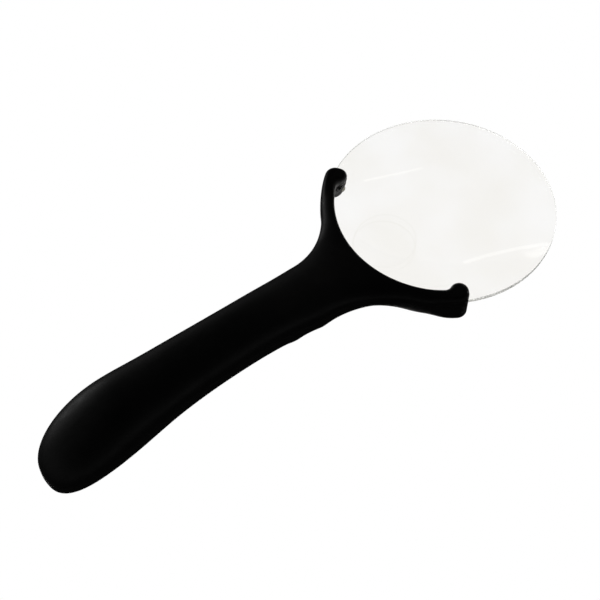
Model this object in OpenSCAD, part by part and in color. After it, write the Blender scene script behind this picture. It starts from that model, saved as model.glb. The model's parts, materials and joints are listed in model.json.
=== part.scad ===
// Rimless lighted hand magnifier.
// A black two-part handle ends in a fork whose round jaws grip a bare lens by
// its edge, with a light in each jaw.  +X runs along the handle towards the
// lens, +Z is up, and z = 0 is the table that the magnifier lies on.
// "Back" is a distance along the handle, measured from the lens centre
// towards the butt.

/* [Lens] */
// Diameter of the lens
lens_d = 100; // [98:0.5:102]
// Height of the lens's middle plane above the table
lens_z = 9; // [9:0.1:9.4]
// Thickness of the lens at its edge
lens_edge = 2; // [1.6:0.1:2.2]
// Radius of each lens surface
lens_curve = 290; // [280:5:400]
// Diameter of the stronger spot moulded into the lens
spot_d = 26.5; // [20:0.5:27]
// Distance of the spot's centre back from the lens centre
spot_back = 32.7; // [28:0.1:33]
// Radius of the spot's surface
spot_curve = 90; // [70:5:120]

/* [Fork] */
// Radius of the arc that the fork's inner edge follows
fork_inner = 46.6; // [46.3:0.1:46.9]
// Outer radius of the fork's arms
arm_outer = 52.7; // [52.6:0.1:53.2]
// Angle of each jaw's centre from the handle's line
jaw_angle = 56; // [52:0.5:58]
// Distance of each jaw's centre from the lens centre
jaw_back = 47.7; // [47.5:0.1:47.8]
// Radius of each round jaw
jaw_r = 4.6; // [4.55:0.05:4.8]
// Radius of the concave flare between the neck and an arm
flare_r = 35; // [33:1:37]

/* [Handle] */
// Distance from the lens centre to the butt end
reach = 205; // [203:0.5:210]
// Width of the neck where the flare starts
neck_w = 28; // [27:0.5:29]
// Width at the narrowest part, the waist
waist_w = 25.6; // [25.4:0.2:27]
// Width at the widest part, near the butt
butt_w = 32.2; // [32:0.1:33.5]
// Wall thickness of the two shells
wall = 1.8; // [1.6:0.1:1.9]

/* [Battery bay] */
// Diameter of a cell
cell_d = 10.3; // [10.2:0.1:10.4]
// Length of a cell, with its nub
cell_l = 44.1; // [43.8:0.1:44.3]
// Width of the battery door
door_w = 22.2; // [22:0.1:22.4]

/* [Switch] */
// Distance of the switch back from the lens centre
switch_back = 84; // [83:0.5:85]
// Travel of the switch button from off to on
switch_travel = 2.5; // [2:0.1:2.8]

/* [Hidden] */
$fn = 96;
lens_x = (reach - lens_d / 2) / 2;
black = [0.05, 0.05, 0.055];
dark = [0.09, 0.09, 0.095];
steel = [0.75, 0.75, 0.77];
gap = 0.25;

// ---- smooth curve through [back, value] rows ----
function seg(t, p, i = 0) = (i >= len(p) - 2 || t < p[i + 1][0]) ? i : seg(t, p, i + 1);
function slope(p, i) =
    let (a = max(i - 1, 0), b = min(i + 1, len(p) - 1))
    (p[b][1] - p[a][1]) / (p[b][0] - p[a][0]);
function curve(t, p) =
    let (i = seg(t, p), h = p[i + 1][0] - p[i][0], s = (t - p[i][0]) / h)
    p[i][1] * (2 * s^3 - 3 * s^2 + 1) + h * slope(p, i) * (s^3 - 2 * s^2 + s)
    + p[i + 1][1] * (3 * s^2 - 2 * s^3) + h * slope(p, i + 1) * (s^3 - s^2);

// ---- handle profile, each row a distance back and a half width or a height ----
butt_back = 174;
flare_y = neck_w / 2 + flare_r;
flare_back = sqrt((arm_outer + flare_r)^2 - flare_y^2);
width_rows = [[flare_back - 10, neck_w / 2], [flare_back, neck_w / 2], [98, waist_w / 2],
    [118, waist_w / 2], [146, 0.3 * waist_w + 0.2 * butt_w - 0.3], [butt_back, butt_w / 2],
    [reach, butt_w / 2]];
seam_rows = [[30, lens_z], [58, lens_z], [78, 10.4], [100, 14], [130, 16.6],
    [152, 16.8], [172, 14.8], [188, 11], [reach, 4]];
roof_rows = [[30, 13.6], [54, 14.4], [75, 17.9], [100, 23], [130, 25.5],
    [152, 26.6], [172, 27], [190, 21], [reach, 15]];
floor_rows = [[30, 0.6], [54, -0.2], [70, -0.2], [90, 2.1], [110, 4.9], [130, 6.4],
    [150, 6.2], [172, 4.4], [184, 3], [191, 1.2], [198, -0.9], [reach, -3.3]];
// how square the butt is in width, at its roof and at its floor
width_round = 2.6;
roof_round = 2.3;
floor_round = 7.5;
// two finger ridges under the neck, with the switch between them
ridge_step = 6.8;
ridge_len = 3.4;
ridge_h = 1.3;
function ridge(back) =
    let (s = [for (side = [-1, 1]) (back - switch_back + side * ridge_step) / ridge_len])
    ridge_h * (exp(-s[0]^2) + exp(-s[1]^2));
function butt_round(back, power) =
    let (s = min(0.9995, max(0, (back - butt_back) / (reach - butt_back))))
    pow(1 - pow(s, power), 1 / power);
function half_w(back) = curve(back, width_rows) * butt_round(back, width_round);
function seam(back) = curve(back, seam_rows);
function rise(back) =
    (curve(back, roof_rows) - seam(back) - land) * butt_round(back, roof_round);
function drop(back) =
    (seam(back) - curve(back, floor_rows) - land) * butt_round(back, floor_round) + ridge(back);
function roof_at(back) = seam(back) + land + rise(back);
function floor_at(back) = seam(back) - land - drop(back);

// ---- skin of one shell: a grid of rows from the butt end to the jaws, and of
// columns from the outer edge to the spine or to the fork's inner arc ----
rows_handle = 32;
rows_fork = 20;
rows = rows_handle + rows_fork;
cols = 9;
wide = 2 * cols + 2;
spine = 0.5;
land = 0.25;
roof_crown = 2.35;
floor_crown = 3.2;
flare_end = atan(flare_y / flare_back);
flare_run = flare_r * (90 - flare_end) * PI / 180;
arm_run = arm_outer * (jaw_angle - flare_end) * PI / 180;
web_run = flare_back - fork_inner;
arc_run = fork_inner * jaw_angle * PI / 180;
apex = rows_handle + ceil(web_run / (web_run + arc_run) * rows_fork);
function polar(r, a) = [r * cos(a), r * sin(a)];
function degrees_of(run, r) = run / r * 180 / PI;
function row_back(i) =
    let (s = i / rows_handle, run = reach - 0.05 - flare_back)
    reach - 0.05 - run * (s < 0.3 ? 0.22 * pow(s / 0.3, 1.7) : 0.22 + 0.78 * (s - 0.3) / 0.7);
function outer_pt(i) = i <= rows_handle
    ? [row_back(i), half_w(row_back(i))]
    : let (s = (i - rows_handle) / rows_fork * (flare_run + arm_run))
      s < flare_run
        ? [flare_back, flare_y] - flare_r * [sin(degrees_of(s, flare_r)), cos(degrees_of(s, flare_r))]
        : polar(arm_outer, flare_end + degrees_of(s - flare_run, arm_outer));
function inner_pt(i) = i <= rows_handle
    ? [row_back(i), spine]
    : let (s = (i - rows_handle) / rows_fork * (web_run + arc_run))
      i < apex
        ? [flare_back - s, spine]
        : i == apex
            ? [sqrt(fork_inner^2 - spine^2), spine]
            : polar(fork_inner, degrees_of(s - web_run, fork_inner));
function across(j) = 1 - cos(90 * j / cols);
function bulge(v, crown) = pow(max(0, 1 - pow(1 - v, crown)), 1 / crown);
function lift(back, v, up) = up > 0
    ? land + rise(back) * bulge(v, roof_crown)
    : -land - drop(back) * bulge(v, floor_crown);
function skin_pt(i, j, side, up) =
    let (v = across(j), p = outer_pt(i) * (1 - v) + inner_pt(i) * v)
    [lens_x - p[0], side * p[1], seam(p[0]) + (up == 0 ? 0 : lift(p[0], v, up))];
function layer(up) = [for (i = [0:rows]) each concat(
    [for (j = [0:cols]) skin_pt(i, j, 1, up)],
    [for (j = [cols:-1:0]) skin_pt(i, j, -1, up)])];
function flip(f) = [f[3], f[2], f[1], f[0]];
module skin(up) {
    n = (rows + 1) * wide;
    face = [for (i = [0:rows - 1]) for (j = [0:wide - 2]) if (j != cols || i < apex)
        [i * wide + j, i * wide + j + 1, (i + 1) * wide + j + 1, (i + 1) * wide + j]];
    back_face = [for (f = face) flip(f + [n, n, n, n])];
    last = rows * wide;
    edges = concat(
        [for (i = [0:rows - 1]) [(i + 1) * wide, i * wide]],
        [for (i = [0:rows - 1]) [(i + 1) * wide - 1, (i + 2) * wide - 1]],
        [for (j = [0:wide - 2]) [j, j + 1]],
        [for (j = [0:wide - 2]) if (j != cols) [last + j + 1, last + j]],
        [for (i = [apex:rows - 1]) [i * wide + cols, (i + 1) * wide + cols]],
        [for (i = [apex:rows - 1]) [(i + 1) * wide + cols + 1, i * wide + cols + 1]],
        [[apex * wide + cols + 1, apex * wide + cols]]);
    rim = [for (e = edges) [e[1], e[0], e[0] + n, e[1] + n]];
    all = concat(face, back_face, rim);
    polyhedron(concat(layer(up), layer(0)), up > 0 ? [for (f = all) flip(f)] : all, convexity = 10);
}

// a round jaw at the end of each arm, with a rounded rim at its top or its bottom
jaw_top = lens_z + 5.6;
jaw_rim = 1.6;
module jaws(low, high, rim_z) {
    for (side = [-1, 1])
        translate([lens_x - jaw_back * cos(jaw_angle), side * jaw_back * sin(jaw_angle), 0])
            rotate_extrude($fn = 64) {
                translate([0, low]) square([jaw_r - jaw_rim, high - low]);
                translate([0, min(rim_z, lens_z)]) square([jaw_r, abs(rim_z - lens_z)]);
                translate([jaw_r - jaw_rim, rim_z]) circle(jaw_rim, $fn = 32);
            }
}

// ---- the space inside the two shells: rings from neck to butt ----
hollow_front = 62;
hollow_back = 198;
hollow_rings = 26;
hollow_sides = 28;
hollow_top = 2.2;
hollow_low = 2.6;
function hollow_pt(back, a, skin_t) =
    let (w = half_w(back) - skin_t, up = sin(a) > 0,
        h = up ? rise(back) - skin_t : drop(back) - ridge(back) - skin_t,
        q = 2 / (up ? hollow_top : hollow_low), c = cos(a), s = sin(a))
    [at(back), w * sign(c) * pow(abs(c), q), seam(back) + h * sign(s) * pow(abs(s), q)];
module hollow(skin_t) {
    m = hollow_sides;
    step = (hollow_back - hollow_front) / hollow_rings;
    pts = [for (i = [0:hollow_rings]) for (k = [0:m - 1])
        hollow_pt(hollow_front + step * i, 360 * (k + 0.5) / m, skin_t)];
    sides = [for (i = [0:hollow_rings - 1]) for (k = [0:m - 1])
        [i * m + k, i * m + (k + 1) % m, (i + 1) * m + (k + 1) % m, (i + 1) * m + k]];
    front = [for (k = [m - 1:-1:0]) k];
    rear = [for (k = [0:m - 1]) hollow_rings * m + k];
    polyhedron(pts, concat(sides, [front, rear]), convexity = 4);
}

// ---- small shapes that repeat ----
function at(back) = lens_x - back;
// a box given by its range back, its half width and its range of heights
module block(back, half, z, side = 0) {
    translate([at(back[1]), side - half, z[0]]) cube([back[1] - back[0], 2 * half, z[1] - z[0]]);
}
module post(back, r, z) {
    translate([at(back), 0, z[0]]) cylinder(r = r, h = z[1] - z[0], $fn = 48);
}
// a tube swept along a smooth curve through the points of a route
function route_pt(p, t) =
    let (i = min(floor(t), len(p) - 2), u = t - i, m = len(p) - 1,
        a = p[max(i - 1, 0)], b = p[i], c = p[i + 1], d = p[min(i + 2, m)])
    0.5 * (2 * b + (c - a) * u + (2 * a - 5 * b + 4 * c - d) * u^2 + (3 * b - 3 * c + d - a) * u^3);
function unit(v) = v / norm(v);
function frames(pts) = [for (i = [0:len(pts) - 1])
    let (t = unit(pts[min(i + 1, len(pts) - 1)] - pts[max(i - 1, 0)]),
        h = unit(cross(abs(t[2]) > 0.9 ? [0, 1, 0] : [0, 0, 1], t)))
    [h, cross(t, h)]];
module sweep(pts, r, n) {
    f = frames(pts);
    last = len(pts) - 1;
    ring = [for (i = [0:last]) for (k = [0:n - 1])
        pts[i] + r * (cos(360 * k / n) * f[i][0] + sin(360 * k / n) * f[i][1])];
    sides = [for (i = [0:last - 1]) for (k = [0:n - 1])
        [i * n + k, (i + 1) * n + k, (i + 1) * n + (k + 1) % n, i * n + (k + 1) % n]];
    front = [for (k = [0:n - 1]) k];
    rear = [for (k = [n - 1:-1:0]) last * n + k];
    polyhedron(ring, concat(sides, [front, rear]), convexity = 6);
}
module wire(route, r) {
    steps = 3;
    sweep([for (k = [0:(len(route) - 1) * steps]) route_pt(route, k / steps)], r, 8);
}

// ---- lens ----
function sag(r) = lens_curve - sqrt(lens_curve^2 - r^2);
module lens_body(extra) {
    r = lens_d / 2 + extra;
    half = lens_edge / 2 + extra;
    centre = lens_curve - sag(lens_d / 2) - half;
    translate([lens_x, 0, lens_z]) rotate_extrude($fn = 144) intersection() {
        translate([0, -centre]) circle(lens_curve, $fn = 900);
        translate([0, centre]) circle(lens_curve, $fn = 900);
        translate([0, -10]) square([r, 20]);
    }
}
module spot() {
    tilt = asin(spot_back / lens_curve);
    rim = sqrt(spot_curve^2 - spot_d^2 / 4);
    top = lens_z + lens_edge / 2 + sag(lens_d / 2) - sag(spot_back);
    translate([at(spot_back), 0, top]) rotate([0, -tilt, 0]) rotate_extrude($fn = 96) intersection() {
        translate([0, -rim - sag(spot_d / 2)]) circle(spot_curve, $fn = 400);
        translate([0, -2]) square([spot_d / 2 + 0.2, 4]);
    }
}
module lens() {
    color([0.85, 0.9, 0.92, 0.4]) union() {
        lens_body(0);
        spot();
    }
}

// ---- lights ----
led_r = 1.5;
led_len = 3.5;
led_flange = [0.35, 0.9];
led_start = 0.3;
led_z = 4.3;
led_tilt = 10;
leg_r = 0.22;
leg_y = 0.65;
leg_len = 2.9;
// places children with +X pointing from a jaw towards the lens's middle
module in_jaw(side) {
    translate([at(jaw_back * cos(jaw_angle)), side * jaw_back * sin(jaw_angle), led_z])
        rotate([0, 0, -side * jaw_angle]) children();
}
module led(side) {
    color([0.95, 0.95, 0.8]) in_jaw(side) rotate([0, 90 + led_tilt, 0]) {
        translate([0, 0, led_start]) rotate_extrude($fn = 48) {
            square([led_r, led_len]);
            square([led_r + led_flange[0], led_flange[1]]);
            translate([0, led_len]) intersection() {
                circle(led_r, $fn = 48);
                square(led_r);
            }
        }
        for (y = [-leg_y, leg_y])
            translate([0, y, led_start - leg_len]) cylinder(r = leg_r, h = leg_len + 0.05, $fn = 16);
    }
}
module led_pocket(side) {
    in_jaw(side) {
        rotate([0, 90 + led_tilt, 0]) {
            cylinder(r = led_r + 0.1, h = 12, $fn = 48);
            translate([0, 0, 0.1]) cylinder(r = led_r + led_flange[0] + 0.15, h = 1.2, $fn = 48);
        }
        translate([-3.6, -2.1, -2]) cube([4.2, 4.2, 10]);
    }
}

// ---- the wires' way through the fork ----
ring_r = 51.35;
groove_w = 1.7;
groove_low = 5.4;
groove_h = lens_z - groove_low + 2;
groove_end = jaw_angle - 1.5;
slot_half = 1.3;
entry = [61.5, 5];
join = 21;
module groove() {
    translate([lens_x, 0, groove_low])
        for (side = [0, 1]) mirror([0, side, 0])
            rotate([0, 0, 180 - groove_end]) rotate_extrude(angle = groove_end - join + 1.5, $fn = 144)
                translate([ring_r - groove_w / 2, 0]) square([groove_w, groove_h]);
    for (side = [-1, 1]) {
        to = polar(ring_r, join);
        run = to - entry;
        translate([at(entry[0]), side * entry[1], groove_low])
            rotate([0, 0, side * atan2(run[1], -run[0])])
            translate([-2.5, -slot_half, 0]) cube([norm(run) + 3.1, 2 * slot_half, groove_h]);
    }
}
module led_wires(side) {
    for (k = [0, 1]) {
        z = groove_low + 0.8 + 1.5 * k;
        route = concat(
            [[70.5, 4.2 + 1.6 * k, board_z - 0.6], [68.5, 4.4 + 0.6 * k, z + 1], [65, 3.4, z]],
            [for (s = [0.05, 0.3, 0.55]) concat(entry + s * (polar(ring_r, join) - entry), [z])],
            [for (a = [join + 1:5.2:groove_end - 4]) concat(polar(ring_r, a), [z])],
            [concat(polar(ring_r, jaw_angle - 2.6), [z])]);
        color(k == 0 ? "red" : "black") wire([for (q = route) [at(q[0]), side * q[1], q[2]]], 0.45);
    }
}

// ---- circuit board and what is on it ----
board_z = 10.2;
board_t = 1.2;
board = [69, 103];
board_half = 7.5;
board_posts = [73.5, 98.5];
// parts stand just clear of the board
top_z = board_z + board_t + 0.02;
module circuit_board() {
    color([0.05, 0.35, 0.15]) difference() {
        block(board, board_half, [board_z, board_z + board_t]);
        for (b = board_posts) post(b, 1.2, [board_z - 1, board_z + 3]);
    }
}
chip_back = [91, 93.9];
chip_y = 4;
chip_half = 0.8;
leg_out = chip_half + 0.33;
module driver_chip() {
    color([0.1, 0.1, 0.1]) block(chip_back, chip_half, [top_z + 0.08, top_z + 1.2], chip_y);
    color(steel)
        for (b = [0.2:1:2.2])
            for (side = [-1, 1])
                block(
                    [chip_back[0] + b, chip_back[0] + b + 0.4], 0.4, [top_z, top_z + 0.5],
                    chip_y + side * (leg_out - 0.4)
                );
}
coil_r = 3;
coil_h = 2.6;
coil_flange = 0.7;
module inductor() {
    color([0.2, 0.2, 0.2]) translate([at(switch_back), 0, top_z]) rotate_extrude($fn = 48) {
        square([coil_r, coil_flange]);
        square([coil_r - 0.9, coil_h]);
        translate([0, coil_h - coil_flange]) square([coil_r, coil_flange]);
    }
}
resistor_backs = [76.5, 79.5];
resistor_y = 4.6;
resistor_half = 0.62;
resistor_z = [top_z, top_z + 0.58];
module resistors() {
    for (b = resistor_backs) for (side = [-1, 1]) {
        y = side * resistor_y;
        color([0.12, 0.12, 0.12]) block([b, b + 2], resistor_half, resistor_z, y);
        color(steel) for (e = [b - 0.3, b + 2]) block([e, e + 0.3], resistor_half, resistor_z, y);
    }
}
// a cross recess in a screw's head, at a height on its axis
module cross_recess(back, z, size) {
    for (a = [0, 90]) translate([at(back), 0, z]) rotate([0, 0, a]) cube(size, center = true);
}
board_head = 1.3;
module board_screws() {
    color(steel) for (b = board_posts) {
        difference() {
            post(b, 1.9, [top_z, top_z + board_head]);
            cross_recess(b, top_z + board_head, [2.2, 0.5, 1.2]);
        }
        post(b, 0.85, [board_z - 3.2, top_z + 0.1]);
    }
}

// ---- switch: rest is off, and its button slides towards the lens ----
case_z = [6.8, board_z - 0.02];
button_z = 3.8;
button_back = switch_back + switch_travel / 2;
stem_half = 0.75;
flap_z = [button_z, button_z + 1.1];
flap_half = [6, 3.9];
knob_low = 0.9;
knob_half = [3, 2.3];
collar_half = 1.6;
// a range back, half long each way from a middle
function about(middle, half) = [middle - half, middle + half];
module switch_case() {
    slot = switch_travel / 2 + stem_half + 0.15;
    color(steel) difference() {
        block(about(switch_back, 4.6), 2.2, case_z);
        block(about(switch_back, slot), stem_half + 0.15, [case_z[0] - 1, case_z[0] + 1.2]);
    }
}
module switch_stem() {
    color([0.15, 0.15, 0.15])
        block(about(button_back, stem_half), stem_half, [button_z + 0.3, case_z[0] + 1.1]);
}
module switch_button() {
    socket = stem_half + 0.07;
    color([0.13, 0.13, 0.135]) difference() {
        union() {
            block(about(button_back, flap_half[0]), flap_half[1], flap_z);
            block(about(button_back, knob_half[0]), knob_half[1], [knob_low, button_z + 0.1]);
            block(about(button_back, collar_half), collar_half, [button_z + 1, button_z + 2]);
        }
        block(about(button_back, socket), socket, [button_z + 0.25, button_z + 3]);
        for (k = [-1:1])
            translate([at(button_back + 1.7 * k), 0, knob_low - 0.1])
                rotate([0, 45, 0]) cube([0.7, 8, 0.7], center = true);
    }
}

// ---- battery bay ----
bay_front = 127.4;
spring_gap = 4.4;
bay_back = bay_front + cell_l + spring_gap + 0.2;
cell_y = 5.6;
cell_z = 15.2;
door_back = [bay_front - 0.15, bay_back + 0.75];
plate_t = 0.4;
// an AAA cell lying along the handle with its nub towards the butt, or turned
// with its nub towards the lens
nub_r = 1.9;
nub_h = 1;
shoulder_h = 0.5;
module cell(front, side, turned) {
    sleeve = nub_h + shoulder_h;
    translate([at(turned ? front : front + cell_l), side * cell_y, cell_z])
        rotate([0, turned ? -90 : 90, 0]) {
            color("silver") {
                cylinder(r = nub_r, h = nub_h, $fn = 32);
                translate([0, 0, nub_h]) cylinder(r = cell_d / 2 - 0.5, h = 0.6, $fn = 64);
            }
            color([0.25, 0.35, 0.4])
                translate([0, 0, sleeve]) cylinder(r = cell_d / 2, h = cell_l - 0.4 - sleeve, $fn = 64);
            color("silver")
                translate([0, 0, cell_l - 0.5]) cylinder(r = cell_d / 2 - 0.6, h = 0.5, $fn = 64);
        }
}
module left_battery() {
    cell(bay_front + spring_gap + 0.1, 1, false);
}
module right_battery() {
    cell(bay_front + 0.1, -1, true);
}
// a cone spring between a contact plate and a cell
coil_turns = 4;
coil_steps = 14;
coil_wire = 0.3;
coil_wide = 3.4;
coil_narrow = 2.3;
module coil(front, side) {
    n = coil_turns * coil_steps;
    l = spring_gap - 0.2 - 2 * coil_wire;
    turn = [for (k = [0:n])
        let (a = 360 * k / coil_steps, r = coil_wide - (coil_wide - coil_narrow) * k / n)
        [at(front + coil_wire + l * k / n), side * cell_y + r * cos(a), cell_z + r * sin(a)]];
    color(steel) sweep(turn, coil_wire, 6);
}
module left_spring() {
    coil(bay_front + 0.1, 1);
}
module right_spring() {
    coil(bay_back - spring_gap + 0.1, -1);
}
plate_half = 3.7;
plate_z = [cell_z - plate_half, cell_z + 4.3];
tab_half = 1.2;
tab_top = plate_z[1] + 1.6;
module contact(side) {
    place = [bay_front - plate_t, bay_front];
    color(steel) {
        block(place, plate_half, plate_z, side * cell_y);
        block(place, tab_half, [plate_z[1] - 0.1, tab_top], side * cell_y);
    }
}
module negative_contact() {
    contact(1);
}
module positive_contact() {
    contact(-1);
}
module link_contact() {
    color(steel) block([bay_back, bay_back + plate_t], cell_y + plate_half, plate_z);
}
module battery_wire(side) {
    route = [[126.75, cell_y, tab_top - 0.4], [124, cell_y + 0.2, tab_top], [120, 6, 19],
        [114, 6, 16.2], [107, 5.2, 13.6], [103.5, 4.6, 12.6], [101, 4.6, top_z + 0.58]];
    color(side > 0 ? "black" : "red") wire([for (q = route) [at(q[0]), side * q[1], q[2]]], 0.5);
}
module positive_wire() {
    battery_wire(-1);
}
module negative_wire() {
    battery_wire(1);
}

// ---- screws that close the two shells, driven from below ----
// each row: distance back, height of the head's seat, height of the tip
shell_screw_rows = [[57, 3.4, 11.8], [118, 9.4, 20.4], [191.5, 4.2, 13]];
shell_head = 1.7;
head_r = 2.3;
shank_r = 1.2;
module shell_screws() {
    color(steel) for (q = shell_screw_rows) {
        difference() {
            post(q[0], head_r, [q[1] - shell_head, q[1]]);
            cross_recess(q[0], q[1] - shell_head, [2.8, 0.6, 2]);
        }
        post(q[0], shank_r, [q[1] - 0.1, q[2]]);
    }
}

// ---- the two shells and the door ----
bulkheads = [[124.9, 126.9], [bay_back + plate_t + 0.15, bay_back + plate_t + 2.15]];
ribs = [140, 164];
rib_t = 1.6;
boss_r = 3;
// play around the lens where the jaws grip it
lens_fit = 0.08;
hinge_z = floor_at(door_back[0]);
hinge_y = 6;
door_top = cell_z - 1.4;
module upper_shell() {
    color(black) difference() {
        union() {
            difference() {
                union() {
                    skin(1);
                    jaws(lens_z, jaw_top, jaw_top - jaw_rim);
                }
                hollow(wall);
            }
            for (q = [shell_screw_rows[1], shell_screw_rows[2]])
                post(q[0], boss_r, [seam(q[0]) + 0.7, roof_at(q[0] + boss_r) - 1.2]);
            for (b = ribs) difference() {
                block([b, b + rib_t], 7, [cell_z + 3, roof_at(b) - 1.25]);
                for (side = [-1, 1]) translate([at(b + 2), side * cell_y, cell_z])
                    rotate([0, 90, 0]) cylinder(r = cell_d / 2 + gap, h = 3, $fn = 64);
            }
        }
        lens_body(lens_fit);
        for (q = shell_screw_rows) post(q[0], shank_r + 0.05, [lens_z - 1, q[2] + 0.6]);
    }
}
module lower_shell() {
    color(dark) difference() {
        union() {
            difference() {
                union() {
                    skin(-1);
                    jaws(0, lens_z, jaw_rim);
                }
                hollow(wall);
            }
            for (b = bulkheads) {
                intersection() {
                    block(b, 20, [0, seam(b[0]) - 0.2]);
                    hollow(wall - 0.7);
                }
                intersection() {
                    block(b, 20, [0, cell_z + 4.6]);
                    hollow(wall + 0.2);
                }
            }
            for (q = [shell_screw_rows[1], shell_screw_rows[2]])
                post(q[0], boss_r + 0.5, [floor_at(q[0]) + 0.8, seam(q[0]) - 0.7]);
            for (b = board_posts) post(b, 2.2, [floor_at(b) + 0.8, board_z - 0.02]);
        }
        lens_body(lens_fit);
        groove();
        for (side = [-1, 1]) led_pocket(side);
        for (q = shell_screw_rows) {
            post(q[0], shank_r + gap, [0, 30]);
            post(q[0], head_r + 0.3, [-2, q[1] + 0.02]);
        }
        for (b = board_posts) post(b, 0.9, [board_z - 4, board_z + 1]);
        block([door_back[0] - gap, door_back[1] + gap], door_w / 2, [-2, cell_z - 1]);
        for (side = [-1, 1])
            block([124, 128], 2.6, [hinge_z + wall + 0.1, cell_z - 2.6], side * hinge_y);
        // everything below the table, so that the magnifier rests on flat faces
        translate([-reach, -reach / 2, -9]) cube([2 * reach, reach, 9]);
        // the button's recess, and its opening through the floor
        recess = about(switch_back, switch_travel / 2 + flap_half[0] + 0.6);
        mouth = about(switch_back, switch_travel / 2 + knob_half[0] + 0.3);
        block(recess, flap_half[1] + 0.3, [button_z - 0.1, button_z + 2.4]);
        block(mouth, knob_half[1] + 0.3, [-1, button_z + 1]);
    }
}
// thumb notch and snap tab at the door's butt end, hinge tongues at the other
thumb_r = 5;
module battery_door() {
    color(dark) union() {
        difference() {
            intersection() {
                skin(-1);
                block(door_back, door_w / 2 - gap, [-2, door_top]);
            }
            hollow(wall);
            translate([at(door_back[1] - 1.5), 0, floor_at(door_back[1]) - thumb_r + 0.8])
                rotate([90, 0, 0]) cylinder(r = thumb_r, h = 9, center = true, $fn = 48);
        }
        for (side = [-1, 1])
            block([door_back[0] - 1.9, door_back[0] + 1.4], 2,
                [hinge_z + wall + 0.35, hinge_z + wall + 1.25], side * hinge_y);
        block([door_back[1] - 1.3, door_back[1] - 0.1], 3,
            [floor_at(door_back[1]) + 0.9, door_top - 4.2]);
    }
}
module left_led() {
    led(1);
}
module right_led() {
    led(-1);
}
module left_led_wires() {
    led_wires(1);
}
module right_led_wires() {
    led_wires(-1);
}

upper_shell();
lower_shell();
battery_door();
lens();
left_led();
right_led();
left_led_wires();
right_led_wires();
circuit_board();
driver_chip();
inductor();
resistors();
switch_case();
switch_stem();
switch_button();
board_screws();
left_battery();
right_battery();
left_spring();
right_spring();
positive_contact();
negative_contact();
link_contact();
positive_wire();
negative_wire();
shell_screws();
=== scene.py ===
import json
import math

import bmesh
import bpy
import numpy as np
from mathutils import Matrix, Vector

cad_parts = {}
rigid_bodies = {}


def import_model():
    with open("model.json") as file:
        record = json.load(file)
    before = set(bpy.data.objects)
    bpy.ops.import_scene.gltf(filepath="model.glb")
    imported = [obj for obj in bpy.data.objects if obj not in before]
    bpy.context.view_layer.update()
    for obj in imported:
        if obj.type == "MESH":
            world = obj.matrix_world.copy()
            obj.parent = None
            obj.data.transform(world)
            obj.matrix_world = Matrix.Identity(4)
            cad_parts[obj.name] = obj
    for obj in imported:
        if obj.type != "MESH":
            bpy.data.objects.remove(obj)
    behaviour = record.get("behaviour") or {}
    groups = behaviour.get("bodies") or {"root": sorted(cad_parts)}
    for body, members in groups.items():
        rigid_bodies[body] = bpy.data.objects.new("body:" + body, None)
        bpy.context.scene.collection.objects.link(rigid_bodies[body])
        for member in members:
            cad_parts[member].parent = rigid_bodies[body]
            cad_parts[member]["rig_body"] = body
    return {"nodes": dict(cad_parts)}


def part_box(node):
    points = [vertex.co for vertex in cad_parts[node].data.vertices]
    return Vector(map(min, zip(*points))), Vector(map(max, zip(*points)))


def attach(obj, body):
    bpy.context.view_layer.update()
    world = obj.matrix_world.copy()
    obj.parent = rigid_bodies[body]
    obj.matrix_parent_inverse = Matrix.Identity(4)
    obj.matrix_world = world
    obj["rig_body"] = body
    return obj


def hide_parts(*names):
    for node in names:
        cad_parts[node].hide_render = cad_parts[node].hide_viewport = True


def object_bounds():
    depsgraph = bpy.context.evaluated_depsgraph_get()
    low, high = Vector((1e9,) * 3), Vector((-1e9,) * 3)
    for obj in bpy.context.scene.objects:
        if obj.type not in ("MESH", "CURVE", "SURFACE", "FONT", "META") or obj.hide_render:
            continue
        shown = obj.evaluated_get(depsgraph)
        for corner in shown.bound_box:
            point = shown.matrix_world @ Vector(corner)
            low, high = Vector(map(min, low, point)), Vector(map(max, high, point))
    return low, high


# A rimless lighted hand magnifier. Lengths are in millimetres until a piece is settled into the
# frame, which is in metres. "Back" is a distance from the lens centre towards the butt end, and a
# plan point is (back, y).

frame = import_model()
cad_low, cad_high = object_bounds()
MM = 0.001


# ---------------------------------------------------------------------------------------------
# Sizes: the frame's own boxes where they hold them, and the design's driving values elsewhere
# ---------------------------------------------------------------------------------------------
LENS_EDGE = 2.0
LENS_CURVE = 290.0
SPOT_D = 26.5
SPOT_BACK = 32.7
SPOT_CURVE = 90.0


def sag(r, curve_r=LENS_CURVE):
    """How far a sphere of radius curve_r drops at distance r from its axis."""
    return curve_r - np.sqrt(curve_r**2 - np.asarray(r) ** 2)


lens_low, lens_high = (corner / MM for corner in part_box("lens"))
LENS_X = (lens_low.x + lens_high.x) / 2
LENS_R = (lens_high.x - lens_low.x) / 2
LENS_Z = lens_low.z + LENS_EDGE / 2 + float(sag(LENS_R))
REACH = 2 * LENS_X + LENS_R

FORK_INNER = 46.6
ARM_OUTER = 52.7
JAW_ANGLE = 56.0
JAW_BACK = 47.7
JAW_R = 4.6
JAW_TOP = 5.6
FLARE_R = 35.0
NECK_W = 28.0
WAIST_W = 25.6
BUTT_W = 32.2
BUTT_BACK = 174.0
WALL = 1.8
LAND = 0.25
ROOF_CROWN = 2.35
FLOOR_CROWN = 3.2
SWITCH_BACK = 84.0
SWITCH_TRAVEL = 2.5
CELL_Y = 5.6
CELL_Z = 15.2
CELL_R = 5.15
GAP = 0.25
DOOR_HALF = 11.1
DOOR_BACK = (127.25, 176.85)
BULKHEADS = ((124.9, 126.9), (176.65, 178.65))
RIBS = (140.0, 164.0)
SHELL_SCREWS = ((57.0, 3.4, 11.8), (118.0, 9.4, 20.4), (191.5, 4.2, 13.0))
BOARD_POSTS = (73.5, 98.5)
BOARD_Z = 10.2
WIRE_RING = 51.35
WIRE_JOIN = 21.0
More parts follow.
